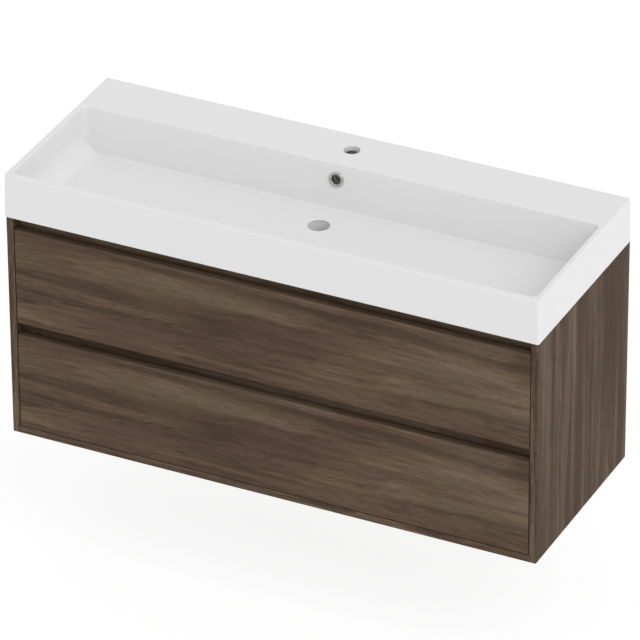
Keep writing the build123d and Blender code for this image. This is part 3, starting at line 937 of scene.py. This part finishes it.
def boxBoard(node, body, cuts=()):
    low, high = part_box(node)
    piece = addBlock(node + "_linen", low, high)
    roundEdges(piece, box["ease"], 2, anyEdge)
    for cutLow, cutHigh in cuts:
        combine(piece, addBlock("cut", cutLow, cutHigh), "DIFFERENCE")
    thin = thinAxis(low, high)
    return dress(piece, body, "drawer_board", [linen, linenEdge], node,
                 rule=lambda face: 0 if abs(face.normal[thin]) > 0.75 else 1)


for level in ("lower", "upper"):
    body = f"{level}_drawer"
    low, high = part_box(f"{level}_box_bottom")
    slack = Vector((0, 0, box["grooveSlack"]))
    groove = (low - slack, high + slack + Vector((0, reach["past"], 0)))
    for node in ("box_side_left", "box_side_right", "box_front"):
        boxBoard(f"{level}_{node}", body, [groove])
boxBoard("lower_box_bottom", "lower_drawer")
boxBoard("lower_box_back", "lower_drawer")
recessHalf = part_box("trap_wall_right")[0].x
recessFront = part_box("trap_wall_front")[1].y
boxBoard("upper_box_bottom", "upper_drawer",
         [((-recessHalf, recessFront, 0), (recessHalf, reach["past"], basinTop))])
for node in ("upper_box_back_left", "upper_box_back_right", "trap_wall_left", "trap_wall_right",
             "trap_wall_front"):
    boxBoard(node, "upper_drawer")
print("drawer boxes made")


# Fittings: the solids that are true to the last bend keep their mesh and get their finish

def coverNode(node, finish):
    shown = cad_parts[node]
    shown.data.materials.clear()
    shown.data.materials.append(finish)


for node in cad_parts:
    if "_cage_" in node:
        coverNode(node, acetal)
    elif "_runner_" in node or node.startswith(("hanger", "wall_plate")):
        coverNode(node, zinc)
    elif node == "carcass_dowels":
        coverNode(node, beech)


def copied(piece, place, way):
    # a copy with its own mesh, its Z axis turned to way and moved to place
    twin = piece.copy()
    twin.data = piece.data.copy()
    bpy.context.scene.collection.objects.link(twin)
    turn = Vector(way).to_track_quat("Z", "Y").to_matrix().to_4x4()
    twin.matrix_world = Matrix.Translation(place) @ turn
    return settle(twin, piece.name)


def crossHead(name, sizes):
    # a round head whose top is at the origin, with a cross recess
    head = addRod(name, sizes["head"], (0, 0, -sizes["depth"]), (0, 0, 0), 32)
    roundEdges(head, sizes["ease"], 3, atHeight(0))
    for x, y in ((sizes["slot"], sizes["cross"]), (sizes["cross"], sizes["slot"])):
        blade = addBlock("blade", (-x, -y, -sizes["recess"]), (x, y, reach["hair"]))
        combine(head, blade, "DIFFERENCE")
    tidyMesh(head)
    return head


def placed(template, body, name, slotName, finish, spots):
    # copies of a template at (place, way) spots, joined as one piece on a body
    copies = [copied(template, place, way) for place, way in spots]
    return dress(joinPieces(name, copies), body, slotName, [finish])


screws = {
    "runner": metres({"head": 3.3, "depth": 1.3, "ease": 0.1, "cross": 2.1, "slot": 0.4,
                      "recess": 0.9}),
    "box": metres({"head": 4.2, "depth": 2.2, "ease": 0.8, "cross": 2.4, "slot": 0.5,
                   "recess": 1.3}),
    "cam": metres({"head": 7.5, "depth": 3.0, "ease": 0.3, "cross": 3.2, "slot": 0.7,
                   "recess": 2.0}),
    "hanger": metres({"head": 3.0, "depth": 2.5, "ease": 0.4, "cross": 1.8, "slot": 0.4,
                      "recess": 1.2}),
}
# How far each head stands off its board
proud = metres({"runner": 0.15, "box": 1.4, "cam": 0.4, "hanger": 0.9})
heads = {kind: crossHead(kind + "_screw", sizes) for kind, sizes in screws.items()}
fitting = metres({"sheet": 1.2, "endInset": 34, "boxScrewOuter": 480, "boxScrewInner": 170,
                  "boxScrewDown": 40, "boxScrewUp": 50, "camInset": 34, "camBesideDowel": 32,
                  "dowelInset": 60, "hangerScrewUpper": 12, "hangerScrewLower": 30,
                  "ball": 1.42, "ballGap": 22, "ballInset": 8, "ballDrop": 1.2})

for level in ("lower", "upper"):
    for side, sign in (("left", -1), ("right", 1)):
        for member, body, outwards in (("cabinet", "cabinet", -1),
                                       ("drawer", f"{level}_drawer", 1)):
            low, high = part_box(f"{level}_runner_{member}_{side}")
            way = Vector((sign * outwards, 0, 0))
            # the web is the member's face farthest from where the heads look
            web = high.x if way.x < 0 else low.x
            x = web + way.x * (fitting["sheet"] + proud["runner"])
            z = (low.z + high.z) / 2
            spots = [((x, y, z), way) for y in (low.y + fitting["endInset"], (low.y + high.y) / 2,
                                                high.y - fitting["endInset"])]
            placed(heads["runner"], body, f"{level}_{member}_runner_screws_{side}", "zinc_steel",
                   zinc, spots)
    low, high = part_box(f"{level}_box_front")
    z = (low.z + high.z) / 2
    spots = [((x, high.y + proud["box"], z + rise), (0, 1, 0))
             for x in (-fitting["boxScrewOuter"], -fitting["boxScrewInner"],
                       fitting["boxScrewInner"], fitting["boxScrewOuter"])
             for rise in (-fitting["boxScrewDown"], fitting["boxScrewUp"])]
    placed(heads["box"], f"{level}_drawer", f"{level}_front_screws", "zinc_steel", zinc, spots)

spots = []
for node, way in (("top_grip_rail", 1), ("middle_grip_rail", 1), ("upper_back_rail", -1),
                  ("lower_back_rail", -1)):
    low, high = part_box(node)
    y = high.y if way > 0 else low.y
    for side in (-1, 1):
        spots.append(((side * (high.x - fitting["camInset"]), y + way * proud["cam"],
                       (low.z + high.z) / 2), (0, way, 0)))
low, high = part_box("bottom_panel")
fromEdge = fitting["dowelInset"] + fitting["camBesideDowel"]
for side in (-1, 1):
    for y in (low.y + fromEdge, -fromEdge):
        spots.append(((side * (high.x - fitting["camInset"]), y, low.z - proud["cam"]),
                      (0, 0, -1)))
placed(heads["cam"], "cabinet", "cam_fittings", "zinc_steel", zinc, spots)

spots = []
for side in ("left", "right"):
    low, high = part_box(f"hanger_housing_{side}")
    for drop in (fitting["hangerScrewUpper"], fitting["hangerScrewLower"]):
        spots.append((((low.x + high.x) / 2, low.y - proud["hanger"], high.z - drop),
                      (0, -1, 0)))
placed(heads["hanger"], "cabinet", "hanger_screws", "zinc_steel", zinc, spots)
for head in heads.values():
    bpy.data.objects.remove(head)
print("screws and cam fittings placed")


# The cages' steel balls, rolling between the flanges above and below

def addBall():
    clearSelection()
    bpy.ops.mesh.primitive_uv_sphere_add(segments=20, ring_count=12, radius=fitting["ball"])
    return settle(bpy.context.object, "ball")


ball = addBall()
for level in ("lower", "upper"):
    for cage in ("outer_cage", "inner_cage"):
        for side in ("left", "right"):
            low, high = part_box(f"{level}_runner_{cage}_{side}")
            count = int((high.y - low.y - 2 * fitting["ballInset"]) / fitting["ballGap"]) + 1
            first = (low.y + high.y - (count - 1) * fitting["ballGap"]) / 2
            x = (low.x + high.x) / 2
            spots = [((x, first + step * fitting["ballGap"], z), (0, 0, 1))
                     for step in range(count)
                     for z in (low.z + fitting["ballDrop"], high.z - fitting["ballDrop"])]
            placed(ball, f"{level}_runner_{cage}s", f"{level}_{cage}_balls_{side}", "zinc_steel",
                   zinc, spots)
bpy.data.objects.remove(ball)
print("balls placed")
